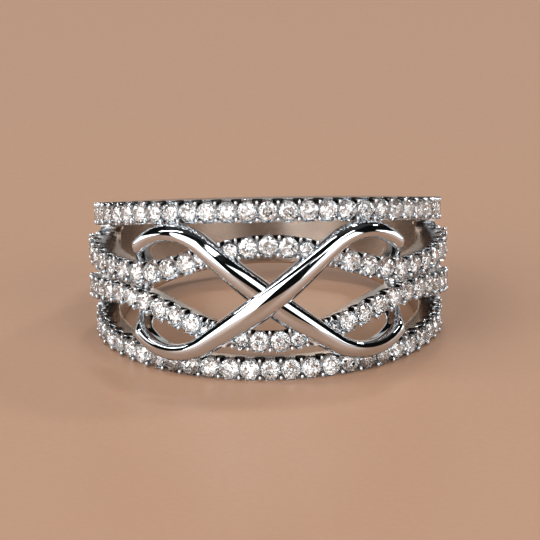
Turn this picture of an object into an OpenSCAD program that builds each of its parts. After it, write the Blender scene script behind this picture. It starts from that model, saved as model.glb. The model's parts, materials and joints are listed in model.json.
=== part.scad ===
// An openwork ring: two stone-set rails, two stone-set waves between them and a plain infinity
// loop woven over the waves, all cast in one piece with a plain shank behind.
// It lies on its side, as it rests on a table: the lower rail's flat side is the plane z = 0.

/* [Finger hole] */
// Diameter of the finger hole
finger_d = 17.3; // [15:0.1:20]

/* [Band] */
// Thickness of the rails and the shank, outwards from the finger
band_t = 1.35; // [1.2:0.05:1.7]
// Width of each rail, along the finger
rail_w = 1.3; // [1.1:0.05:1.4]
// How far the infinity loop's upper edges run over the upper rail's side
loop_overlap = 0.08; // [0.02:0.01:0.12]
// Lean of each rail, which opens the band towards the front
rail_lean = 8.4; // [7:0.1:10]

/* [Waves] */
// Thickness of each wave, outwards from the finger
wave_t = 1.7; // [1.5:0.05:2]
// Width of each wave's strand
wave_w = 1.35; // [1.05:0.05:1.35]
// Height of the upper wave's crest at the front, over the middle of the band
upper_crest = 2.6; // [2.3:0.05:2.7]
// Depth of the lower wave's trough at the front, under the middle of the band
lower_crest = 2.85; // [2.3:0.05:3.1]
// Distance between the middles of the waves where they run side by side
waist_spacing = 1.36; // [1.36:0.01:1.5]
// Angle from the front at which the upper wave is nearest the middle
upper_waist_at = 50; // [46:1:56]
// Angle from the front at which the lower wave is nearest the middle
lower_waist_at = 57; // [50:1:60]
// Distance between the middles of the waves where they run into the shank
root_spacing = 2.4; // [2:0.1:2.8]

/* [Infinity loop] */
// Radius of the middle line of each of its two loops
loop_r = 3.44; // [3.2:0.02:3.5]
// Distance from the crossing to the middle of each loop, along the band
loop_reach = 5.8; // [5.6:0.1:6.2]
// How far the loops' middles lie under the middle of the band
loop_drop = 0.22; // [0.1:0.01:0.35]
// How much further down the crossing lies
crossing_drop = 0.3; // [0:0.05:0.35]
// Width of the wire at the crossing
wire_w = 1.6; // [1.3:0.05:1.7]
// Width of the wire round the loops
wire_loop_w = 1; // [0.8:0.05:1]
// Depth of the wire, from its crest to its flat underside
wire_depth = 1.3; // [1.2:0.05:1.5]
// How far the wire stands out over the waves
wire_rise = 0.5; // [0.45:0.05:0.7]
// How much higher the upper strand passes at the crossing, and how much lower the other
crossing_step = 0.18; // [0.1:0.02:0.3]
// How far the ends of the loops dive under the faces of the waves
wire_dive = 0.75; // [0.75:0.05:1]

/* [Shank] */
// Width of the shank at the back of the ring
back_w = 2.9; // [2.4:0.1:3.8]
// Angle from the front at which the shank begins
shank_from = 102; // [98:1:110]

/* [Stones] */
// Diameter of each stone
stone_d = 1.06; // [0.9:0.01:1.07]
// Distance between the middles of neighbouring stones
stone_pitch = 1.17; // [1.15:0.01:1.3]
// Angle from the front of the last stone of each rail
rail_stones_to = 89; // [70:0.5:94]
// Angle from the front to which the waves' stones reach
wave_stones_to = 90; // [70:0.5:94]
// Clearance under a stone's point, and between a stone and the wire beside it
seat_clearance = 0.06; // [0.04:0.01:0.1]
// Diameter of the smallest stone, which is set beside the wire
smallest_stone = 0.6; // [0.5:0.05:0.8]
// Radius of the cut that opens each seat to the sides and leaves a prong at each of its corners
scallop_r = 0.74; // [0.7:0.01:0.76]

/* [Hidden] */
$fn = 96;

finger_r = finger_d / 2;
band_r = finger_r + band_t;
wave_r = finger_r + wave_t;

// The cuts reach past the surfaces that they open by this much
past = 0.4;

// The rails' middles lie in two leaning planes, which the shank's sides carry on behind. They run
// along the two loops, and rail_spacing is their distance at the sides of the ring.
rail_slope = tan(rail_lean);
rail_half = rail_w / 2 / cos(rail_lean);
loops_y = -band_r * cos(loop_reach / wave_r * 180 / PI);
loops_top = loop_r - loop_drop + wire_loop_w / 2;
rail_spacing = 2 * (loops_top - loop_overlap + rail_half + loops_y * rail_slope);
function rail_z(side, y) = side * (rail_spacing / 2 - y * rail_slope);
shank_y = -band_r * cos(shank_from);

// The ring's own axis leans back by rail_lean so that the lower rail lies flat, and the middle of
// the ring's box is the origin
axis_height = rail_spacing / 2 * cos(rail_lean) + rail_w / 2;
front_reach = (wave_r + wire_rise + crossing_step) * cos(rail_lean);
back_reach = band_r * cos(rail_lean) + back_w / 2 * sin(rail_lean);

// One smooth half wave from 0 to 1 as x goes from a to b
function ease(x, a, b) = (1 - cos(180 * min(1, max(0, (x - a) / (b - a))))) / 2;

// The wire stands over the waves' faces at the front, steps up or down at the crossing and dives
// under them at the far ends of the loops
wire_r = wave_r + wire_rise;
loop_end = loop_reach + loop_r;
dive_from = loop_end - 0.35 * loop_r;
function wire_half(arc) = (wire_w + (wire_loop_w - wire_w) * ease(arc, 0, loop_reach)) / 2;
leg_angle = asin(loop_r / loop_reach);
leg_length = sqrt(loop_reach * loop_reach - loop_r * loop_r);

// A point of the ring from its angle from the front, its radius and its height along the finger
function on_ring(angle, r, z) = [r * sin(angle), -r * cos(angle), z];

// Height of the middle of a wave: from its crest in front down to the waist, then out to its root
function wave_height(angle, crest, waist_at) =
    let (a = abs(angle), waist = waist_spacing / 2, root = root_spacing / 2)
    crest + (waist - crest) * ease(a, 0, waist_at) + (root - waist) * ease(a, waist_at, shank_from);
function wave_z(upper, angle) =
    upper ? wave_height(angle, upper_crest, upper_waist_at)
    : -wave_height(angle, lower_crest, lower_waist_at);

// A strand is swept along rows of [angle, height, direction along the band, direction along the
// finger]. Its section is a list of [offset to the side, radius], and its walls are radial.
function across(row, offset, r, track_r) =
    let (n = norm([row[2], row[3]]))
    on_ring(row[0] - offset * row[3] / n / track_r * 180 / PI, r, row[1] + offset * row[2] / n);

module sweep(rows, sections, track_r) {
    n = len(sections[0]);
    last = len(rows) - 1;
    points = [
        for (i = [0:last]) for (p = sections[i]) across(rows[i], p[0], p[1], track_r)
    ];
    walls = [
        for (i = [0:last - 1], j = [0:n - 1])
            let (a = i * n + j, b = i * n + (j + 1) % n)
            each [[a, b + n, b], [a, a + n, b + n]]
    ];
    ends = [[for (j = [0:n - 1]) j], [for (j = [n - 1:-1:0]) last * n + j]];
    polyhedron(points, concat(walls, ends));
}

// Rows along one wave, a few degrees apart, from root to root
wave_step = 3;
wave_end = shank_from + wave_step;
wave_angles = [-wave_end:wave_step:wave_end];
function wave_row(upper, angle) = [
    angle, wave_z(upper, angle),
    2 * wave_r * PI / 180, wave_z(upper, angle + 1) - wave_z(upper, angle - 1)
];

// A wave's outer face sinks under the shank's over its last stretch
root_sink = 0.25;
function wave_face_r(angle) =
    wave_r + (band_r - root_sink - wave_r) * ease(abs(angle), wave_stones_to, wave_end);

module wave(upper) {
    sweep(
        [for (a = wave_angles) wave_row(upper, a)],
        [
            for (a = wave_angles)
                let (low = finger_r - past, high = wave_face_r(a), half = wave_w / 2)
                [[-half, low], [half, low], [half, high], [-half, high]]
        ],
        wave_r
    );
}

// The middle line of one strand of the infinity loop: the upper left quarter loop, the leg through
// the crossing and the lower right quarter loop, flat on the band. Turned by up = -1 it is the
// other strand. Rows hold the point and the direction.
arc_steps = 14;
leg_steps = 12;
arc_sweep = 90 + leg_angle;
strand_rows = [
    for (i = [0:arc_steps])
        let (a = 180 - arc_sweep * i / arc_steps)
        [-loop_reach + loop_r * cos(a), loop_r * sin(a), sin(a), -cos(a)],
    for (i = [1:leg_steps - 1])
        let (d = leg_length * (2 * i / leg_steps - 1))
        [d * cos(leg_angle), -d * sin(leg_angle), cos(leg_angle), -sin(leg_angle)],
    for (i = [0:arc_steps])
        let (a = 180 - leg_angle - 90 + 180 + arc_sweep * i / arc_steps)
        [loop_reach + loop_r * cos(a), loop_r * sin(a), -sin(a), cos(a)]
];

// The strands sag towards the crossing by this much at a place along the band, and at this slope
function sag(arc) = crossing_drop * (1 - ease(abs(arc), 0, loop_reach));
function sag_slope(arc) =
    abs(arc) > loop_reach ? 0 : -crossing_drop * PI / 2 / loop_reach * sin(180 * arc / loop_reach);

module wire_strand(up) {
    rows = [
        for (p = strand_rows)
            let (height = up * p[1] - loop_drop - sag(p[0]))
            [p[0] / wave_r * 180 / PI, height, p[2], up * p[3] - sag_slope(p[0]) * p[2]]
    ];
    sections = [
        for (p = strand_rows)
            let (s = abs(p[0]))
            let (out = ease(s, dive_from, loop_end))
            let (step = -up * crossing_step * (1 - ease(s, 0, 2 * wire_w)))
            wire_section(wire_half(s), wire_r + step - (wire_rise + wire_dive) * out)
    ];
    sweep(rows, sections, wave_r);
}

// A domed section: a flat underside, straight walls, and half an ellipse over them
dome_points = 8;
dome_height = 0.7;
function wire_section(half, top) = concat(
    [[-half, top - wire_depth], [half, top - wire_depth]],
    [
        for (i = [0:dome_points])
            let (a = 180 * i / dome_points)
            [half * cos(a), top - dome_height + dome_height * sin(a)]
    ]
);

// A cylinder along the finger, whose seam faces the front
module tube(r) {
    translate([0, 0, -rail_spacing]) rotate(-90) cylinder(h = 2 * rail_spacing, r = r);
}

// A prism across the whole ring, from its upper half seen from the side as points [y, z]
side_reach = 2 * wire_r;
module side_prism(points) {
    mirrored = [for (i = [len(points) - 1:-1:0]) [points[i][0], -points[i][1]]];
    rotate([90, 0, 90])
        translate([0, 0, -side_reach])
        linear_extrude(2 * side_reach)
        polygon(concat(points, mirrored));
}

// The rails and the shank: a tube cut to the outline seen from the side, which narrows evenly from
// the rails' ends to the back, and opened between the rails
module band() {
    side_z = rail_z(1, shank_y) + rail_half;
    narrowing = (side_z - back_w / 2) / (band_r - shank_y);
    outline = [
        [-side_reach, rail_z(1, -side_reach) + rail_half],
        [shank_y, side_z],
        [band_r + past, back_w / 2 - narrowing * past]
    ];
    opening = [for (y = [-side_reach, shank_y]) [y, rail_z(1, y) - rail_half]];
    difference() {
        intersection() {
            tube(band_r);
            side_prism(outline);
        }
        side_prism(opening);
    }
}

// A stone, pointing outwards: an eight-sided table and crown, a thin girdle and a point inwards.
// All its sizes are shares of its diameter.
table_share = 0.58;
crown_share = 0.15;
girdle_share = 0.03;
point_share = 0.42;
girdle_sink = 0.12;
seat_depth = girdle_sink + (girdle_share + point_share) * stone_d + seat_clearance;

module stone(d) {
    sides = 8;
    function ring(share, z) = [
        for (i = [0:sides - 1])
            let (a = 360 * (i + 0.5) / sides, r = d / 2 * share)
            [r * cos(a), r * sin(a), z]
    ];
    points = concat(
        ring(table_share, crown_share * d), ring(1, 0), ring(1, -girdle_share * d),
        [[0, 0, -(girdle_share + point_share) * d]]
    );
    bands = [
        for (k = [0:1], i = [0:sides - 1])
            let (a = k * sides + i, b = k * sides + (i + 1) % sides)
            [a, b, b + sides, a + sides]
    ];
    pavilion = [for (i = [0:sides - 1]) [2 * sides + i, 2 * sides + (i + 1) % sides, 3 * sides]];
    table = [[for (i = [sides - 1:-1:0]) i]];
    polyhedron(points, concat(table, bands, pavilion));
}

// The stones' places along each strand, as [angle, height, diameter] of each girdle
rail_girdle_r = band_r - girdle_sink;
wave_girdle_r = wave_r - girdle_sink;
rail_each_way = floor(rail_stones_to * PI / 180 * rail_girdle_r / stone_pitch);
rail_pitch = rail_stones_to / rail_each_way;
function rail_places(side) = [
    for (i = [-rail_each_way:rail_each_way])
        [i * rail_pitch, rail_z(side, -rail_girdle_r * cos(i * rail_pitch)), stone_d]
];

// A wave's curve in fine steps from the front, as rows of [run, angle, height]
fine_step = 0.25;
fine_arc = wave_girdle_r * fine_step * PI / 180;
function wave_runs(upper) = [
    for (
        a = 0, run = 0;
        a <= wave_stones_to;
        run = run + norm([fine_arc, wave_z(upper, a + fine_step) - wave_z(upper, a)]), a = a + fine_step
    )
        [run, a, wave_z(upper, a)]
];

// The largest stone that fits at a row of a wave's curve, beside the wire's legs
function fitting_stone(row) =
    let (arc = row[1] * PI / 180 * wave_girdle_r)
    let (height = row[2] + loop_drop + sag(arc))
    let (to_leg = min([for (up = [-1, 1]) abs(arc * sin(leg_angle) + up * height * cos(leg_angle))]))
    arc > dive_from ? stone_d : min(stone_d, 2 * (to_leg - wire_half(arc) - seat_clearance));

// Fills a wave's curve from the front: each stone takes the first row that is clear of the last
// one, and beside the wire it is a smaller one. The rows found are [run, angle, height, diameter].
stone_gap = stone_pitch - stone_d;
function filled(runs, free_from, i = 0, found = []) =
    i == len(runs) ? found
    : let (d = fitting_stone(runs[i]))
      d < smallest_stone || runs[i][0] < free_from + d / 2
        ? filled(runs, free_from, i + 1, found)
        : filled(runs, runs[i][0] + d / 2 + stone_gap, i + 1, concat(found, [concat(runs[i], [d])]));

// The upper wave has a stone in the middle of the front, and the lower one has two beside it. Past
// the wire the stones stand at even distances up to wave_stones_to.
function wave_places(upper) =
    let (runs = wave_runs(upper))
    let (found = filled(runs, upper ? -stone_d : stone_gap / 2))
    let (wire_at = abs(wave_z(upper, 0)) / tan(leg_angle) / wave_r * 180 / PI)
    let (even_from = [for (f = found) if (f[1] > wire_at && f[3] == stone_d) f[0]][0])
    let (even_to = runs[len(runs) - 1][0])
    let (steps = floor((even_to - even_from) / stone_pitch))
    let (angles = [for (r = runs) [r[0], r[1]]])
    let (even = [
        for (i = [0:steps])
            let (a = lookup(even_from + (even_to - even_from) * i / steps, angles))
            [a, wave_z(upper, a), stone_d]
    ])
    let (right = concat([for (f = found) if (f[0] < even_from) [f[1], f[2], f[3]]], even))
    concat([for (p = right) if (p[0] > 0) [-p[0], p[1], p[2]]], right);

// Places its children at a stone's place, with +Z pointing outwards from the finger
module at_place(place, r) {
    translate(on_ring(place[0], r, place[1])) rotate([90, 0, place[0]]) children();
}

// Seats in a face, which reach up to a radius
module seats(places, face_r, to_r) {
    for (place = places)
        at_place(place, face_r - seat_depth)
            cylinder(h = to_r - face_r + seat_depth, r = scallop_r * place[2] / stone_d, $fn = 32);
}

module stones(places, girdle_r) {
    color("white") ring_axis() for (place = places) at_place(place, girdle_r) stone(place[2]);
}

module ring_axis() {
    translate([0, (front_reach - back_reach) / 2, axis_height]) rotate([-rail_lean, 0, 0]) children();
}

// The wire runs over the rails' stones, whose seats are cut into its underside too
over_stones_r = rail_girdle_r + crown_share * stone_d + seat_clearance;
module ring_body() {
    color("silver") ring_axis() difference() {
        union() {
            difference() {
                union() {
                    band();
                    wave(true);
                    wave(false);
                }
                seats(wave_places(true), wave_r, wave_r + past);
                seats(wave_places(false), wave_r, wave_r + past);
            }
            wire_strand(1);
            wire_strand(-1);
        }
        seats(rail_places(1), band_r, over_stones_r);
        seats(rail_places(-1), band_r, over_stones_r);
        tube(finger_r);
    }
}

module upper_rail_stones() {
    stones(rail_places(1), rail_girdle_r);
}

module upper_wave_stones() {
    stones(wave_places(true), wave_girdle_r);
}

module lower_wave_stones() {
    stones(wave_places(false), wave_girdle_r);
}

module lower_rail_stones() {
    stones(rail_places(-1), rail_girdle_r);
}

ring_body();
upper_rail_stones();
upper_wave_stones();
lower_wave_stones();
lower_rail_stones();
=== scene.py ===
"""An infinity ring lying on a pale floor: its cast body, its cut stones and their finishes.

Shapes are worked out in millimetres in the ring's own frame, with x to the right, y to the back and
z along the finger, where an angle is measured round the finger from the front. place() turns them
into the frame's metres. A strand is drawn on the unrolled band, as a run along it and a height.
"""
import json
import math

import bpy
import numpy as np
from mathutils import Matrix, Vector


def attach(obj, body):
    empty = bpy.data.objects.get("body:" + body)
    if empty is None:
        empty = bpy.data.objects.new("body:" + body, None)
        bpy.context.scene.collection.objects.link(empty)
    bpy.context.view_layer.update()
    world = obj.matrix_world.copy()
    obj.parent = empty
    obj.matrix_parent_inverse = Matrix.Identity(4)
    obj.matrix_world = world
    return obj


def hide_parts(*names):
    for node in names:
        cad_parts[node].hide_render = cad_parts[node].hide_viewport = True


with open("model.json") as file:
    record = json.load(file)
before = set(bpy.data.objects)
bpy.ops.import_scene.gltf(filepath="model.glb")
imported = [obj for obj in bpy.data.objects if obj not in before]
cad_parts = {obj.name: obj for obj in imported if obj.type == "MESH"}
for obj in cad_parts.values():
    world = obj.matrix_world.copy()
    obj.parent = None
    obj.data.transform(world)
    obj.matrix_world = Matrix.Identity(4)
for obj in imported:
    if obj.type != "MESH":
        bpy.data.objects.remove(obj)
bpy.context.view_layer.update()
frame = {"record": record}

HOLE = next(m for m in frame["record"]["mounts"] if m["name"] == "finger_hole")
CENTRE = np.array(HOLE["pos_m"])
LEAN = math.atan2(HOLE["axis"][1], HOLE["axis"][2])
FINGER_R = HOLE["dims"]["r_mm"]
MM = 0.001

# The band, its rails and its shank, with the places of their ends in degrees from the front
BAND_R = FINGER_R + 1.35
RAIL_HALF = 0.65 / math.cos(LEAN)
RAIL_SINK_FROM = 96.0
RAIL_SINK = 0.03
BACK_HALF = 1.45
SHANK_FROM = 102.0
RAILS_END = SHANK_FROM + 0.6
WAVES_END = SHANK_FROM + 2.5
SUNK_BY = SHANK_FROM + 2.0

# The waves between the rails
WAVE_R = FINGER_R + 1.7
WAVE_HALF = 0.675
UPPER_WAVE = {"crest": 2.6, "waist_at": 50.0, "side": 1}
LOWER_WAVE = {"crest": 2.85, "waist_at": 57.0, "side": -1}
WAIST = 0.68
ROOT = 1.2
WAVE_STONES_TO = 90.0
WAVE_SINK_FROM = 88.0
WAVE_SINK = 0.6
TAPER = 0.45

# The infinity loop
LOOP_R = 3.44
LOOP_REACH = 5.8
LOOP_DROP = 0.22
CROSSING_DROP = 0.3
WIRE_HALF = 0.8
WIRE_LOOP_HALF = 0.5
WIRE_DEPTH = 1.3
WIRE_R = WAVE_R + 0.5
WIRE_DIVE = 1.25
DOME = 0.7
WIRE_SKEW = 0.28
SKEW_BELOW = 0.12
CROSSING_STEP = 0.18
LEG_ANGLE = math.asin(LOOP_R / LOOP_REACH)
LEG_LENGTH = math.sqrt(LOOP_REACH**2 - LOOP_R**2)
LOOP_END = LOOP_REACH + LOOP_R
DIVE_FROM = LOOP_END - 0.35 * LOOP_R
SHOWS_PAST_DIVE = 0.6
LOOP_OVERLAP = 0.08
LOOPS_TOP = LOOP_R - LOOP_DROP + WIRE_LOOP_HALF

# Where the loops stand, and how high the rails lie at the ring's sides so that they run along the loops
LOOPS_Y = -BAND_R * math.cos(LOOP_REACH / WAVE_R)
RAIL_MIDDLE = LOOPS_TOP - LOOP_OVERLAP + RAIL_HALF + LOOPS_Y * math.tan(LEAN)

# The stones and their settings
STONE_D = 1.1
STONE_PITCH = 1.17
RAIL_STONES_TO = 89.0
GIRDLE_SINK = 0.12
SEAT_R = 0.72
SEAT_DEPTH = 0.6
NOTCH_HALF = 0.34
NOTCH_REACH = 0.36
NOTCH_DEPTH = 0.55
# The share of the notches' painted shade that is kept on a strand's lower half
LOWER_PAINTED_SHADE = 0.12
SHOULDER = 0.07
TUCK = 0.2
SMALLEST_STONE = 0.62
TIPPED = 2.5
RAIL_SEED = 40
WAVE_SEED = 50

# The prongs
BEAD_R = 0.09
BEAD_LONG = 1.8
BEAD_DOME = 0.85 * BEAD_R
BEAD_FOOT = 0.4
BEAD_DEPTH = 0.55
BEAD_IN = 0.17
BESIDE_STONE = 0.08
LONE_GAP = 0.5

# The shank's edges
FRONT_REACH = 0.8
EDGE_ROUND = 0.25
FRONT_ROUND = 0.2

# Colours, in linear light
SILVER = (0.64, 0.68, 0.72, 1.0)
GRAIN_SILVER = (0.6, 0.57, 0.53, 1.0)
# Painted shade: the darker, warmer colour inside the band and down the strands' walls
INNER_PAINTED_SHADE = (0.52, 0.44, 0.38, 1.0)
# Painted shade: the near-black colour in the notches beside the prongs
NOTCH_PAINTED_SHADE = (0.02, 0.018, 0.016, 1.0)
STONE_COOL = (0.93, 0.97, 1.0, 1.0)
STONE_CLEAR = (0.98, 0.99, 1.0, 1.0)
FLOOR_COLOUR = (0.475, 0.277, 0.181, 1.0)
FLOOR_SHADE = (0.425, 0.246, 0.158, 1.0)

# The finishes' relief: how many waves, grains or cells there are in a metre, and heights in metres
METAL_WAVES = 700.0
METAL_WAVE_HIGH = 2.5e-6
METAL_GRAIN = 9000.0
METAL_GRAIN_HIGH = 2.5e-7
CELLS = 6000.0
CELL_SLOPE = 0.25
CLOUDS = 900.0
TOOTH = 2500.0
TOOTH_HIGH = 1e-5

# Lamps, all at one distance in metres: angles, widths and turns are in degrees
WHITE = (1.0, 0.99, 0.97)
LAMPS_AWAY = 0.6
LAMP_COLUMNS = ("name", "azimuth", "elevation", "wide", "high", "glow", "turned")
LAMPS = [
    ("left_box", -39, 24, 44, 60, 3.5, 11),
    ("left_side_box", -100, 11, 50, 14, 3.5, 0),
    ("strip", 21, 59, 40, 4, 16.0, 38),
    ("right_box", 37, 24, 34, 44, 2.7, 16),
    ("right_side_box", 100, 11, 50, 14, 4.0, 0),
    ("back_box", 180, 12, 110, 22, 0.5, 0),
    ("top_box", 180, 74, 60, 44, 0.04, 0),
    ("key", -95, 56, 5, 40, 12.0, 0),
    ("right_sparkle", 130, 42, 5, 5, 60.0, 0),
    ("back_sparkle", 170, 58, 5, 5, 60.0, 0),
]
ROOM_LIGHT = (0.9, 0.86, 0.8, 1.0)
ROOM_STRENGTH = 0.006

# The camera, on the line that the photograph was taken along. Its shifts are in pixels of the picture
CAMERA_AWAY = 0.3
CAMERA_UP = math.radians(17.7)
CAMERA_ROLL = math.radians(1.0)
CAMERA_LENS = 344.0
CAMERA_SENSOR = 36.0
PICTURE_SIDE = 540
SHIFT_RIGHT = 1.5
SHIFT_DOWN = 7.5

# Pieces that cross each other have inner faces this much apart
SKIN = 0.012

# How finely the grids are cut, and the step in which the waves' stones look for their places
FINE_ANGLES = 6001
TRACK_STEP = 0.045
SEARCH_STEP = 0.03
FACE_POINTS = 31
WALL_STEPS = 6
ARC_POINTS = 140
LEG_POINTS = 120
OVER_POINTS = 33
UNDER_POINTS = 21
SHANK_COLUMNS = 81
SHANK_ROWS = 241
ROWS_EASED = 0.35
BEAD_SIDES = 12


def place(points):
    """The ring's own millimetres in the frame: turned back by the lean about x, then moved to the hole."""
    x, y, z = np.moveaxis(np.asarray(points, float), -1, 0)
    back = y * math.cos(LEAN) + z * math.sin(LEAN)
    high = z * math.cos(LEAN) - y * math.sin(LEAN)
    return np.stack([x, back, high], -1) * MM + CENTRE


def ease(x, a, b):
    """Half a cosine wave from 0 to 1 as x goes from a to b."""
    return (1 - np.cos(np.pi * np.clip((x - a) / (b - a), 0, 1))) / 2


def on_ring(angle, r, z):
    """The point at an angle from the front, in radians, a radius and a height."""
    angle, r, z = np.broadcast_arrays(angle, r, z)
    return np.stack([r * np.sin(angle), -r * np.cos(angle), z], -1)


def rounded(distance, radius):
    """How far a quarter round of that radius has dropped at a distance from the edge that it rounds."""
    inside = np.clip(radius - distance, 0, radius)
    return radius - np.sqrt(radius**2 - inside**2)


def piece(name, points, faces, smooth=True, sharp_over=None, **values):
    """A closed mesh in the frame's metres. Its faces are turned outwards, by the sign of their volume.

    Six times the volume is the sum, over each face's fan of triangles, of a . (b x c). Values are
    attributes of the points.
    """
    where = place(points.reshape(-1, 3))
    lists = [np.asarray(f) for f in faces]
    middle = where - where.mean(0)
    volume = 0.0
    for block in lists:
        for k in range(1, block.shape[1] - 1):
            a, b, c = (middle[block[:, j]] for j in (0, k, k + 1))
            volume += np.einsum("ij,ij->", a, np.cross(b, c))
    if volume < 0:
        lists = [block[:, ::-1] for block in lists]
    mesh = bpy.data.meshes.new(name)
    mesh.from_pydata(where.tolist(), [], [f for block in lists for f in block.tolist()])
    mesh.polygons.foreach_set("use_smooth", np.full(len(mesh.polygons), smooth))
    if sharp_over:
        mesh.set_sharp_from_angle(angle=math.radians(sharp_over))
    for key, of_points in values.items():
        mesh.attributes.new(key, "FLOAT", "POINT").data.foreach_set("value", of_points.ravel())
    mesh.update()
    made = bpy.data.objects.new(name, mesh)
    bpy.context.scene.collection.objects.link(made)
    return made


def loft(sections):
    """Faces of a closed sweep over a grid whose columns close round it.

    They are quads between neighbouring rows, and an end face on the first row and on the last.
    """
    rows, columns = sections.shape[:2]
    index = np.arange(rows * columns).reshape(rows, columns)
    after = np.roll(index, -1, axis=1)
    quads = np.stack([index[:-1], after[:-1], after[1:], index[1:]], -1).reshape(-1, 4)
    return [quads, index[:1, ::-1], index[-1:]]


class Track:
    """The middle line of a strand on the unrolled band, in rows of equal runs.

    Its height is a function of the angle in degrees, out to the reach each way.
    """

    def __init__(self, height_of, face_r, reach):
        fine = np.radians(np.linspace(-reach, reach, FINE_ANGLES))
        height = height_of(np.degrees(fine))
        run = np.concatenate([[0], np.cumsum(np.hypot(np.diff(fine) * face_r, np.diff(height)))])
        run -= run[len(run) // 2]
        self.face_r = face_r
        self.run = np.linspace(run[0], run[-1], int((run[-1] - run[0]) / TRACK_STEP))
        self.table = (run, fine, height)

    def at(self, run):
        """Angle, height and unit direction, round the band and up it, at each run.

        The direction is that from a small way behind to a small way ahead.
        """
        steps, angles, heights = self.table
        angle = np.interp(run, steps, angles)
        height = np.interp(run, steps, heights)
        small = 0.02
        turned = np.interp(run + small, steps, angles) - np.interp(run - small, steps, angles)
        round_it = self.face_r * turned
        up_it = np.interp(run + small, steps, heights) - np.interp(run - small, steps, heights)
        length = np.hypot(round_it, up_it)
        return angle, height, round_it / length, up_it / length

    def across(self, run, offset, r):
        """The point an offset to the strand's left, its walls standing straight out from the finger."""
        angle, height, along, up = self.at(run)
        return on_ring(angle - offset * up / self.face_r, r, height + offset * along)

    def axes(self, run, offset):
        """At each run and offset, the directions along the strand, to its left and outwards."""
        angle, _, along, up = self.at(run)
        turned = angle - offset * up / self.face_r
        zero = np.zeros_like(turned)
        around = np.stack([np.cos(turned), np.sin(turned), zero], -1)
        finger = np.stack([zero, zero, zero + 1], -1)
        ahead = around * along[..., None] + finger * up[..., None]
        left = finger * along[..., None] - around * up[..., None]
        out = np.stack([np.sin(turned), -np.cos(turned), zero], -1)
        return np.stack([ahead, left, out], -2)


def rail_height(side):
    """A rail leans: its middle stands out by RAIL_MIDDLE less y times the tangent of the lean."""
    return lambda angle: side * (RAIL_MIDDLE + BAND_R * np.cos(np.radians(angle)) * math.tan(LEAN))


def wave_height(wave):
    """A wave falls from its crest in front to its waist, and rises again to its root.

    Each way it goes by half a cosine wave of the angle.
    """
    def height(angle):
        a = np.abs(angle)
        down = wave["crest"] + (WAIST - wave["crest"]) * ease(a, 0, wave["waist_at"])
        return wave["side"] * (down + (ROOT - WAIST) * ease(a, wave["waist_at"], SHANK_FROM))
    return height


def wire_line(up):
    """One strand of the infinity loop on the unrolled band.

    It is a loop's arc, a straight leg through the crossing and the other loop's arc, and it sags towards
    the crossing by half a cosine wave. Columns are the run round the band, the height, and the unit
    direction.
    """
    sweep = math.pi / 2 + LEG_ANGLE
    first = np.linspace(math.pi, math.pi - sweep, ARC_POINTS)
    leg = np.linspace(-LEG_LENGTH, LEG_LENGTH, LEG_POINTS)[1:-1]
    last = np.linspace(3 * math.pi / 2 - LEG_ANGLE, 2 * math.pi, ARC_POINTS)
    arc_in = [LOOP_R * np.cos(first) - LOOP_REACH, LOOP_R * np.sin(first), np.sin(first), -np.cos(first)]
    along, down = math.cos(LEG_ANGLE), math.sin(LEG_ANGLE)
    straight = [leg * along, -leg * down, leg * 0 + along, leg * 0 - down]
    arc_out = [LOOP_R * np.cos(last) + LOOP_REACH, LOOP_R * np.sin(last), -np.sin(last), np.cos(last)]
    line = np.concatenate([np.stack(part, -1) for part in (arc_in, straight, arc_out)])
    line *= [1, up, 1, up]
    x = np.clip(line[:, 0], -LOOP_REACH, LOOP_REACH)
    line[:, 1] -= LOOP_DROP + CROSSING_DROP * (1 - ease(np.abs(x), 0, LOOP_REACH))
    line[:, 3] += line[:, 2] * CROSSING_DROP * math.pi / 2 / LOOP_REACH * np.sin(math.pi * x / LOOP_REACH)
    line[:, 2:] /= np.linalg.norm(line[:, 2:], axis=1, keepdims=True)
    return line


def wire_half(run):
    """Half the wire's width, which narrows from the crossing to the loops by half a cosine wave."""
    return WIRE_HALF + (WIRE_LOOP_HALF - WIRE_HALF) * ease(np.abs(run), 0, LOOP_REACH)


def wire_strand(up, skin):
    """A strand's grid. Its section is half an ellipse over a rounded foot.

    The foot's offset and depth go as the roots of a cosine and a sine. The half ellipse is sheared in
    step with the height over the crossing, so the loop is domed from top to bottom. The upper strand
    steps up at the crossing, and both dive under the waves at the loops' ends.
    """
    line = wire_line(up)
    run = np.abs(line[:, 0])
    step = -up * CROSSING_STEP * (1 - ease(run, 0, 4 * WIRE_HALF))
    top = (WIRE_R + step - WIRE_DIVE * ease(run, DIVE_FROM, LOOP_END))[:, None]
    over = np.linspace(0, math.pi, OVER_POINTS)
    under = np.linspace(math.pi, 2 * math.pi, UNDER_POINTS)[1:-1]
    spring = top - DOME
    low = np.maximum(top - WIRE_DEPTH, FINGER_R + skin)
    foot = np.sign(np.cos(under)) * np.sqrt(np.abs(np.cos(under)))
    skew = WIRE_SKEW * (line[:, 1, None] + LOOP_DROP + CROSSING_DROP) / LOOP_R - SKEW_BELOW
    dome_share = np.cos(over) - skew * np.sin(over)
    foot_share = np.broadcast_to(foot, (len(line), len(foot)))
    offset = wire_half(run)[:, None] * np.concatenate([dome_share, foot_share], 1)
    dome_r = spring + DOME * np.sin(over)
    foot_r = spring - (spring - low) * np.sqrt(np.abs(np.sin(under)))
    r = np.concatenate([dome_r, foot_r], 1)
    angle = (line[:, 0, None] - offset * line[:, 3, None]) / WAVE_R
    return on_ring(angle, r, line[:, 1, None] + offset * line[:, 2, None])


def free_width(run, height):
    """How far a point of the band lies from the edge of the nearest wire that shows."""
    lines = np.concatenate([wire_line(1), wire_line(-1)])
    shown = lines[np.abs(lines[:, 0]) < DIVE_FROM + SHOWS_PAST_DIVE]
    away = np.hypot(shown[:, 0] - run, shown[:, 1] - height) - wire_half(shown[:, 0])
    return away.min()


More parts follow.
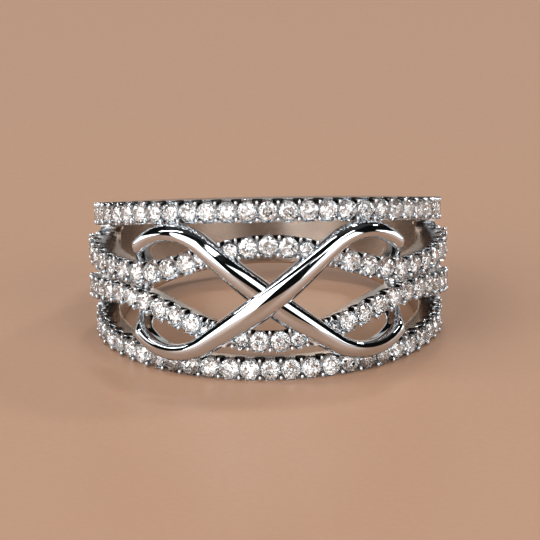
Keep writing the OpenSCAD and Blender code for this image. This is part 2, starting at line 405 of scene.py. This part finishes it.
def rail_places(track):
    """Stones at equal angles along a rail, as rows of run and diameter."""
    steps, angles, _ = track.table
    each_way = int(math.radians(RAIL_STONES_TO) * (BAND_R - GIRDLE_SINK) / STONE_PITCH)
    places = np.radians(np.linspace(-RAIL_STONES_TO, RAIL_STONES_TO, 2 * each_way + 1))
    return [(float(run), STONE_D) for run in np.interp(places, angles, steps)]


def wave_places(track, free_from):
    """Stones along a wave, as rows of run and diameter.

    From the front, each takes the first place clear of the last, and beside the wire it is smaller.
    Past the wire they stand at even distances.
    """
    steps, angles, heights = track.table
    end = np.interp(math.radians(WAVE_STONES_TO), angles, steps)
    gap = STONE_PITCH - STONE_D
    past_wire = abs(np.interp(0, angles, heights)) / math.tan(LEG_ANGLE)
    found = []
    for run in np.arange(0, end, SEARCH_STEP):
        angle, height, _, _ = track.at(run)
        arc = angle * WAVE_R
        d = STONE_D if arc > DIVE_FROM else min(STONE_D, 2 * (free_width(arc, height) + TUCK))
        if d >= SMALLEST_STONE and run >= free_from + d / 2:
            if arc > past_wire and d == STONE_D:
                break
            found.append((float(run), float(d)))
            free_from = run + d / 2 + gap
    evenly = np.linspace(run, end, int((end - run) / STONE_PITCH) + 1)
    found += [(float(at), STONE_D) for at in evenly]
    return [(-run, d) for run, d in found[::-1] if run > 0] + found


def seat_cut(run, offset, places):
    """How deep the seats cut into a strand's face.

    Each is a bowl: its depth goes as the root of 1 - (distance / radius)^4.
    """
    depth = np.zeros(np.broadcast(run, offset).shape)
    for at, d in places:
        share = np.hypot(run - at, offset) / (SEAT_R * d / STONE_D)
        bowl = SEAT_DEPTH * d / STONE_D * np.sqrt(np.clip(1 - share**4, 0, 1))
        depth = np.maximum(depth, bowl)
    return depth


def notch_cut(run, offset, half, places):
    """How deep the notches cut into a strand's edges, one on each side of every pair of prongs.

    Each is a bowl round a point of the edge: its depth goes as the root of 1 - share^4, where share is
    the distance in notch widths along the edge and in notch reaches in from it.
    """
    depth = np.zeros(np.broadcast(run, offset).shape)
    for at in bead_runs(places):
        share = np.hypot((run - at) / NOTCH_HALF, (half - np.abs(offset)) / NOTCH_REACH)
        depth = np.maximum(depth, NOTCH_DEPTH * np.sqrt(np.clip(1 - share**4, 0, 1)))
    return depth


def setting(name, track, half, places, sink_from, sink, skin, slant=0, taper=0):
    """A strand: straight walls, rounded shoulders, and a face cut by its seats and notches.

    With a slant, the wall on its right leans with the ring's flat side, in step with the radius. With a
    taper, the strand narrows by that share down to the finger. One attribute is painted shade in the
    notches, their share of full depth: it fades down the walls as a power of the height, and on the lower
    half only a small part of it is kept. The other, satin with a darker painted shade, grows as a power of
    the height, from the top of a wall down.
    """
    run = track.run[:, None]
    half = np.broadcast_to(half, track.run.shape)[:, None]
    angle = np.abs(np.degrees(track.at(track.run)[0]))[:, None]
    face = track.face_r - sink * ease(angle, sink_from, SUNK_BY)
    across = half * np.sin(np.linspace(-np.pi / 2, np.pi / 2, FACE_POINTS))
    wall = np.linspace(0, 1, WALL_STEPS + 1)[:-1]
    low = FINGER_R + skin
    notch = notch_cut(run, across, half, places)
    cut = np.maximum(seat_cut(run, across, places), notch)
    top = face - np.maximum(cut, rounded(half - np.abs(across), SHOULDER))
    offset = np.concatenate([wall * 0 - half, across, wall * 0 + half], 1)
    r = np.concatenate([low + (top[:, :1] - low) * wall, top, low + (top[:, -1:] - low) * wall[::-1]], 1)
    # Painted shade in the notches: it fades down the walls and is slight on the lower half
    fade = wall**8
    recess = np.concatenate([notch[:, :1] * fade, notch, notch[:, -1:] * fade[::-1]], 1) / NOTCH_DEPTH
    recess *= np.where(offset > 0, 1, LOWER_PAINTED_SHADE)
    # The walls get satin and a darker painted shade, growing from the top of a wall down
    wall_satin_and_shade = np.broadcast_to(1 - wall**4, (len(run), WALL_STEPS))
    satin = np.concatenate([wall_satin_and_shade, np.zeros_like(notch), wall_satin_and_shade[:, ::-1]], 1)
    points = track.across(run, offset * (1 - taper * (face - r) / (face - low)), r)
    to_right = (half - offset) / (2 * half)
    points[..., 2] += slant * to_right * (1 - BAND_R / r) * points[..., 1] * math.tan(LEAN)
    return piece(name, points, loft(points), recess=recess, satin=satin)


def copies(shape, faces, origins, axes, sizes):
    """Many copies of a small shape: a point is its origin plus its size times the shape, along its axes."""
    points = np.einsum("nmk,nkx->nmx", shape[None] * sizes[:, None, None], axes) + origins[:, None]
    shift = (np.arange(len(origins)) * len(shape))[:, None, None]
    return points.reshape(-1, 3), [(f[None] + shift).reshape(-1, f.shape[1]) for f in faces]


def bead_shape():
    """A prong's post with a domed tip and a narrow flat foot, from a profile of radii and heights.

    The dome is a quarter ellipse. The profile is turned about the axis and then stretched across the
    strand.
    """
    rise = np.linspace(0, math.pi / 2, 6)[:-1]
    radius = np.concatenate([[BEAD_FOOT, 1.0], np.cos(rise)[1:]]) * BEAD_R
    height = np.concatenate([[-BEAD_DEPTH, 0.0], np.sin(rise)[1:] * BEAD_DOME])
    turn = np.arange(BEAD_SIDES) / BEAD_SIDES * 2 * math.pi
    rings = np.stack([
        radius[:, None] * np.cos(turn),
        radius[:, None] * np.sin(turn) * BEAD_LONG,
        height[:, None] + 0 * turn,
    ], -1)
    index = np.arange(rings[..., 0].size).reshape(len(radius), BEAD_SIDES)
    after = np.roll(index, -1, 1)
    tip = index.size
    quads = np.stack([index[:-1], after[:-1], after[1:], index[1:]], -1).reshape(-1, 4)
    cap = np.stack([index[-1], after[-1], np.full(BEAD_SIDES, tip)], -1)
    points = np.concatenate([rings.reshape(-1, 3), [[0, 0, BEAD_DOME]]])
    return points, [quads, cap, index[:1, ::-1]]


def bead_runs(places):
    """Where a strand's pairs of prongs stand: between neighbours, and beside a stone that has none."""
    runs = []
    for (a, da), (b, db) in zip(places, places[1:]):
        gap = b - a - (da + db) / 2
        edges = [a + da / 2, b - db / 2]
        lone = [edges[0] + BESIDE_STONE, edges[1] - BESIDE_STONE]
        runs += [sum(edges) / 2] if gap < LONE_GAP else lone
    first, last = places[0], places[-1]
    before = first[0] - first[1] / 2 - BESIDE_STONE
    return [before] + runs + [last[0] + last[1] / 2 + BESIDE_STONE]


def brilliant():
    """A round brilliant of diameter 1: table, stars, kites, halves, a girdle, and kites and halves below.

    Its points are rings of 8 or 16 at a radius and a height. The stars' outer points, and the lower
    halves' inner points, lie in the planes of the kites beside them.
    """
    table_r, crown, girdle, depth = 0.285, 0.15, 0.03, 0.42
    eighth, half = np.arange(8) * math.pi / 4, math.pi / 8
    inward = math.cos(half)
    star_r, low_r = 0.395, 0.11
    star_z = crown * (0.5 - star_r * inward) / (0.5 - table_r)
    low_z = -girdle - depth * (1 - low_r * inward / 0.5)
    turn = np.arange(16) * half

    def ring(radius, angles, z):
        return np.stack([radius * np.cos(angles), radius * np.sin(angles), angles * 0 + z], -1)

    points = np.concatenate([
        ring(table_r, eighth, crown), ring(star_r, eighth + half, star_z), ring(0.5, turn, 0),
        ring(0.5, turn, -girdle), ring(low_r, eighth + half, low_z), [[0, 0, -girdle - depth]]
    ])
    k = np.arange(8)
    table, star, upper, lower, low, tip = k, 8 + k, 16 + 2 * k, 32 + 2 * k, 48 + k, np.full(8, 56)
    after, before = np.roll(k, -1), np.roll(k, 1)
    g, g2 = 16 + np.arange(16), 32 + np.arange(16)
    quads = np.concatenate([
        np.stack([table, star[before], upper, star], -1),
        np.stack([g, g2, np.roll(g2, -1), np.roll(g, -1)], -1),
        np.stack([lower, low[before], tip, low], -1),
    ])
    triangles = np.concatenate([
        np.stack([table, star, table[after]], -1),
        np.stack([star, upper, upper + 1], -1),
        np.stack([star, upper + 1, upper[after]], -1),
        np.stack([low, lower + 1, lower], -1),
        np.stack([low, lower[after], lower + 1], -1),
    ])
    return points, [quads, triangles, table[None, :]]


def stones(name, track, places, seed):
    """A strand's stones: brilliants a little below its face.

    By chance each is turned about its own axis, and tipped a little along the strand and across it.
    """
    chance = np.random.default_rng(seed)
    runs, sizes = (np.array(column) for column in zip(*places))
    axes = track.axes(runs, 0)
    turn = chance.uniform(0, 2 * math.pi, len(runs))[:, None]
    tip = np.radians(chance.uniform(-TIPPED, TIPPED, (2, len(runs), 1)))
    ahead, left, out = np.moveaxis(axes, 1, 0)
    out = out + tip[0] * ahead + tip[1] * left
    out /= np.linalg.norm(out, axis=1, keepdims=True)
    ahead = ahead * np.cos(turn) + left * np.sin(turn)
    ahead -= out * np.sum(ahead * out, 1, keepdims=True)
    ahead /= np.linalg.norm(ahead, axis=1, keepdims=True)
    axes = np.stack([ahead, np.cross(out, ahead), out], 1)
    shape, faces = brilliant()
    origins = track.across(runs, 0, track.face_r - GIRDLE_SINK)
    points, lists = copies(shape, faces, origins, axes, sizes)
    return piece(name, points, lists, smooth=False)


def prongs(name, strands):
    """The prongs of several strands: a pair at each of bead_runs' places, just inside the walls."""
    shape, faces = bead_shape()
    origins, axes = [], []
    for track, half, places in strands:
        runs = np.array(bead_runs(places))
        for side in (-1, 1):
            offset = side * (half - BEAD_IN)
            origins.append(track.across(runs, offset, track.face_r))
            axes.append(track.axes(runs, offset))
    origins, axes = np.concatenate(origins), np.concatenate(axes)
    points, lists = copies(shape, faces, origins, axes, np.ones(len(origins)))
    return piece(name, points, lists)


def shank_front(height):
    """How far the shank's front edge stands forward of SHANK_FROM: half rounds end the strands' gaps."""
    rail_edge = rail_height(1)(SHANK_FROM) - RAIL_HALF
    gaps = [(WAVE_HALF - ROOT, ROOT - WAVE_HALF)]
    gaps += [(-rail_edge, -ROOT - WAVE_HALF), (ROOT + WAVE_HALF, rail_edge)]
    forward = np.full(np.shape(height), FRONT_REACH)
    for low, high in gaps:
        radius = (high - low) / 2
        away = np.abs(height - (low + high) / 2)
        round_end = radius - np.sqrt(np.clip(radius**2 - away**2, 0, None))
        forward = np.where(away < radius, np.minimum(forward, round_end), forward)
    return forward


def shank(name):
    """The band behind: its width falls in a straight line of y from the rails to the back.

    Its edges are quarter rounds, and half as large inside. Rows run from one front edge round the back
    to the other, and columns round the section. The attribute for satin and a darker painted shade is 1
    inside.
    """
    front_y = -BAND_R * math.cos(math.radians(SHANK_FROM))
    front_half = rail_height(1)(SHANK_FROM) + RAIL_HALF
    share = np.sin(np.linspace(-np.pi / 2, np.pi / 2, SHANK_COLUMNS))
    start = math.radians(SHANK_FROM) - shank_front(share * front_half) / BAND_R
    rows = (1 - np.cos(np.linspace(0, np.pi, SHANK_ROWS)))[:, None] / 2
    rows = ROWS_EASED * rows + (1 - ROWS_EASED) * np.linspace(0, 1, SHANK_ROWS)[:, None]
    angle = start + rows * (2 * math.pi - 2 * start)
    y = -BAND_R * np.cos(angle)
    half = front_half - (front_half - BACK_HALF) * np.clip((y - front_y) / (BAND_R - front_y), 0, 1)
    height = share * half
    from_side = half - np.abs(height)
    from_front = BAND_R * np.minimum(angle - start, 2 * math.pi - start - angle)
    outer = BAND_R - rounded(from_side, EDGE_ROUND) - rounded(from_front, FRONT_ROUND)
    inner = FINGER_R + rounded(from_side, EDGE_ROUND / 2) + rounded(from_front, FRONT_ROUND / 2)
    points = on_ring(
        np.concatenate([angle, angle[:, ::-1]], 1),
        np.concatenate([outer, inner[:, ::-1]], 1),
        np.concatenate([height, height[:, ::-1]], 1),
    )
    quads, first, last = loft(points)
    columns = points.shape[1]
    pair = np.arange(columns // 2)
    ends = [np.stack([row[pair], row[pair + 1], row[-pair - 2], row[-pair - 1]], -1)[:-1]
            for row in (first[0], last[0])]
    # Satin and a darker painted shade on the band's inside
    inside = np.concatenate([np.zeros_like(outer), np.ones_like(inner)], 1)
    return piece(name, points, [quads] + ends, sharp_over=60, satin=inside)


class Value:
    """A shader socket that can be reckoned with: each operation adds a Math node."""

    def __init__(self, graph, socket):
        self.graph = graph
        self.socket = socket

    def math(self, operation, *values, clamp=False):
        """A Math node of that operation on the values."""
        settings = {"operation": operation, "use_clamp": clamp}
        return self.graph.node("ShaderNodeMath", settings, dict(enumerate(values)))

    def __add__(self, other):
        return self.math("ADD", self, other)

    def __mul__(self, other):
        return self.math("MULTIPLY", self, other)

    __radd__ = __add__
    __rmul__ = __mul__

    def clamped(self):
        """The value, kept from 0 to 1."""
        return self.math("ADD", self, 0.0, clamp=True)


class Graph:
    """A material's nodes, made one by one."""

    def __init__(self, name):
        self.material = bpy.data.materials.new(name)
        self.material.use_nodes = True
        self.tree = self.material.node_tree
        self.tree.nodes.clear()

    def node(self, kind, settings=None, inputs=None, output=0):
        """A node of that kind: its settings are set first, then each input gets a value or a link."""
        made = self.tree.nodes.new(kind)
        for key, value in (settings or {}).items():
            setattr(made, key, value)
        for key, value in (inputs or {}).items():
            if isinstance(value, Value):
                self.tree.links.new(value.socket, made.inputs[key])
            else:
                made.inputs[key].default_value = value
        return Value(self, made.outputs[output]) if made.outputs else made

    def vectors(self, operation, a, b, output=0):
        """Vector Math on two vectors."""
        return self.node("ShaderNodeVectorMath", {"operation": operation}, {0: a, 1: b}, output)

    def noise(self, where, scale, detail, roughness=0.5):
        """Noise from 0 to 1, with that many blotches in a metre."""
        values = {"Vector": where, "Scale": scale, "Detail": detail, "Roughness": roughness}
        return self.node("ShaderNodeTexNoise", inputs=values)

    def bump(self, height, strength=1.0):
        """The normal over a height in metres."""
        values = {"Strength": strength, "Distance": 1.0, "Height": height}
        return self.node("ShaderNodeBump", inputs=values, output="Normal")

    def mixed(self, factor, a, b):
        """A colour between two, in linear light."""
        return self.node("ShaderNodeMix", {"data_type": "RGBA"}, {0: factor, 6: a, 7: b}, output=2)

    def finish(self, values):
        """The surface: one Principled shader with these inputs."""
        surface = self.node("ShaderNodeBsdfPrincipled", inputs=values)
        self.node("ShaderNodeOutputMaterial", inputs={"Surface": surface})
        return self.material


def silver(name):
    """Polished metal: bright, with faint waves and a fine grain.

    It has painted shade: near black in the notches beside the prongs, and a darker, warmer colour inside
    the band and down the strands' walls, which are also satin.
    """
    g = Graph(name)
    where = g.node("ShaderNodeTexCoord", output="Object")
    recess = g.node("ShaderNodeAttribute", {"attribute_name": "recess"}, output="Fac").clamped()
    satin = g.node("ShaderNodeAttribute", {"attribute_name": "satin"}, output="Fac").clamped()
    waves = g.noise(where, scale=METAL_WAVES, detail=2.0)
    grain = g.noise(where, scale=METAL_GRAIN, detail=4.0, roughness=0.65)
    colour = g.mixed(grain * 0.06, SILVER, GRAIN_SILVER)
    # Painted shade: a darker, warmer colour inside the band and down the walls
    colour = g.mixed(satin, colour, INNER_PAINTED_SHADE)
    # Painted shade: near black in the notches
    colour = g.mixed((recess * 1.6).clamped(), colour, NOTCH_PAINTED_SHADE)
    height = waves * METAL_WAVE_HIGH + grain * METAL_GRAIN_HIGH
    return g.finish({
        "Base Color": colour,
        "Metallic": 1.0,
        "Roughness": 0.03 + grain * 0.04 + recess * 0.25 + satin * 0.2,
        "Normal": g.bump(height),
    })


def clear_stone(name):
    """Cut stones: clear, hard and bright. Each small cell of the surface has a slight slope of its own.

    In a cell the height is the dot product of the way from the cell's middle and its chance colour.
    """
    g = Graph(name)
    where = g.node("ShaderNodeTexCoord", output="Object")
    cells = {"Vector": where, "Scale": CELLS}
    middle = g.node("ShaderNodeTexVoronoi", inputs=cells, output="Position")
    chance = g.node("ShaderNodeTexVoronoi", inputs=cells, output="Color")
    away = g.vectors("SUBTRACT", where, middle)
    slope = g.vectors("SUBTRACT", chance, (0.5, 0.5, 0.5))
    height = g.vectors("DOT_PRODUCT", away, slope, output="Value")
    cloud = g.noise(where, scale=CLOUDS, detail=2.0)
    return g.finish({
        "Base Color": g.mixed(cloud, STONE_COOL, STONE_CLEAR),
        "Roughness": cloud * 0.02,
        "Metallic": 0.1,
        "IOR": 2.3,
        "Transmission Weight": 1.0,
        "Normal": g.bump(height * CELL_SLOPE),
    })


def pale_floor(name):
    """Warm pale board, with a fine tooth."""
    g = Graph(name)
    where = g.node("ShaderNodeTexCoord", output="Object")
    tooth = g.noise(where, scale=TOOTH, detail=4.0)
    return g.finish({
        "Base Color": g.mixed(tooth, FLOOR_COLOUR, FLOOR_SHADE),
        "Roughness": 0.4,
        "Normal": g.bump(tooth * TOOTH_HIGH, strength=0.3),
    })


def aimed(made, place_at, target):
    """Puts a camera or lamp at a point, looking at another, with its top up."""
    away = Vector(place_at) - Vector(target)
    made.matrix_world = Matrix.Translation(place_at) @ away.to_track_quat("Z", "Y").to_matrix().to_4x4()


def softbox(name, azimuth, elevation, wide, high, glow, turned):
    """A white lamp that faces the ring, of that width and height in degrees and that radiance.

    Azimuth 0 is in front, and 90 on the right. It is turned about its own axis.
    """
    lamp = bpy.data.lights.new(name, "AREA")
    lamp.shape = "RECTANGLE"
    lamp.size = 2 * LAMPS_AWAY * math.tan(math.radians(wide) / 2)
    lamp.size_y = 2 * LAMPS_AWAY * math.tan(math.radians(high) / 2)
    lamp.energy = glow * math.pi * lamp.size * lamp.size_y
    lamp.color = WHITE
    made = bpy.data.objects.new(name, lamp)
    bpy.context.scene.collection.objects.link(made)
    a, e = math.radians(azimuth), math.radians(elevation)
    direction = Vector((math.cos(e) * math.sin(a), -math.cos(e) * math.cos(a), math.sin(e)))
    aimed(made, Vector(CENTRE) + direction * LAMPS_AWAY, CENTRE)
    made.matrix_world @= Matrix.Rotation(math.radians(turned), 4, "Z")
    return made


# The body, strand by strand. Measured along the finger, a rail is as wide all the way round
rails = {side: Track(rail_height(side), BAND_R, RAILS_END) for side in (1, -1)}
waves = {
    wave["side"]: Track(wave_height(wave), WAVE_R, WAVES_END)
    for wave in (UPPER_WAVE, LOWER_WAVE)
}
rail_stones = {side: rail_places(track) for side, track in rails.items()}
wave_stones = {
    1: wave_places(waves[1], -STONE_D),
    -1: wave_places(waves[-1], (STONE_PITCH - STONE_D) / 2),
}
SIDES = {1: "upper", -1: "lower"}

metal = []
clear = {}
for n, (side, word) in enumerate(SIDES.items()):
    track = rails[side]
    half = RAIL_HALF * track.at(track.run)[2]
    slant = 1 if side < 0 else 0
    places = rail_stones[side]
    sink = (RAIL_SINK_FROM, RAIL_SINK)
    metal.append(setting(word + "_rail", track, half, places, *sink, SKIN, slant=slant))
    clear[word + "_rail_stones"] = stones(word + "_rail_cut_stones", track, places, RAIL_SEED + n)
    track = waves[side]
    places = wave_stones[side]
    sink = (WAVE_SINK_FROM, WAVE_SINK)
    metal.append(setting(word + "_wave", track, WAVE_HALF, places, *sink, (2 + n) * SKIN, taper=TAPER))
    clear[word + "_wave_stones"] = stones(word + "_wave_cut_stones", track, places, WAVE_SEED + n)

strands = [wire_strand(1, 4 * SKIN), wire_strand(-1, 5 * SKIN)]
blocks = []
for n, grid in enumerate(strands):
    shift = n * strands[0][..., 0].size
    blocks += [block + shift for block in loft(grid)]
metal.append(piece("infinity_loop", np.concatenate([g.reshape(-1, 3) for g in strands]), blocks))
metal.append(shank("shank"))
metal.append(prongs("prongs", [
    *((rails[side], RAIL_HALF, rail_stones[side]) for side in SIDES),
    *((waves[side], WAVE_HALF, wave_stones[side]) for side in SIDES),
]))

silver_finish = silver("polished_silver_finish")
stone_finish = clear_stone("clear_stone_finish")
for made in metal:
    made.data.materials.append(silver_finish)
    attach(made, "root")
    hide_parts("ring_body")
for node, made in clear.items():
    made.data.materials.append(stone_finish)
    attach(made, "root")
    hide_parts(node)

# The floor
floor_mesh = bpy.data.meshes.new("floor")
reach = 3
corners = [(-reach, -reach, 0), (reach, -reach, 0), (reach, reach, 0), (-reach, reach, 0)]
floor_mesh.from_pydata(corners, [], [(0, 1, 2, 3)])
floor = bpy.data.objects.new("floor", floor_mesh)
bpy.context.scene.collection.objects.link(floor)
floor_mesh.materials.append(pale_floor("pale_floor_finish"))

# Light
world = bpy.data.worlds.new("studio")
bpy.context.scene.world = world
world.use_nodes = True
room = world.node_tree.nodes["Background"]
room.inputs["Color"].default_value = ROOM_LIGHT
room.inputs["Strength"].default_value = ROOM_STRENGTH
for row in LAMPS:
    softbox(**dict(zip(LAMP_COLUMNS, row)))

# The camera
back = Vector((0, -math.cos(CAMERA_UP), math.sin(CAMERA_UP)))
level_up = Vector((0, math.sin(CAMERA_UP), math.cos(CAMERA_UP)))
level_right = Vector((1, 0, 0))
right = level_right * math.cos(CAMERA_ROLL) - level_up * math.sin(CAMERA_ROLL)
up = level_up * math.cos(CAMERA_ROLL) + level_right * math.sin(CAMERA_ROLL)
eye = Vector(CENTRE) + back * CAMERA_AWAY
camera_data = bpy.data.cameras.new("camera")
camera_data.sensor_width = CAMERA_SENSOR
camera_data.lens = CAMERA_LENS
camera_data.shift_x = SHIFT_RIGHT / PICTURE_SIDE
camera_data.shift_y = -SHIFT_DOWN / PICTURE_SIDE
camera_data.clip_start = 0.01
camera = bpy.data.objects.new("camera", camera_data)
bpy.context.scene.collection.objects.link(camera)
camera.matrix_world = Matrix((
    (right.x, up.x, back.x, eye.x),
    (right.y, up.y, back.y, eye.y),
    (right.z, up.z, back.z, eye.z),
    (0, 0, 0, 1),
))
bpy.context.scene.camera = camera
bpy.context.scene.view_settings.view_transform = "Standard"
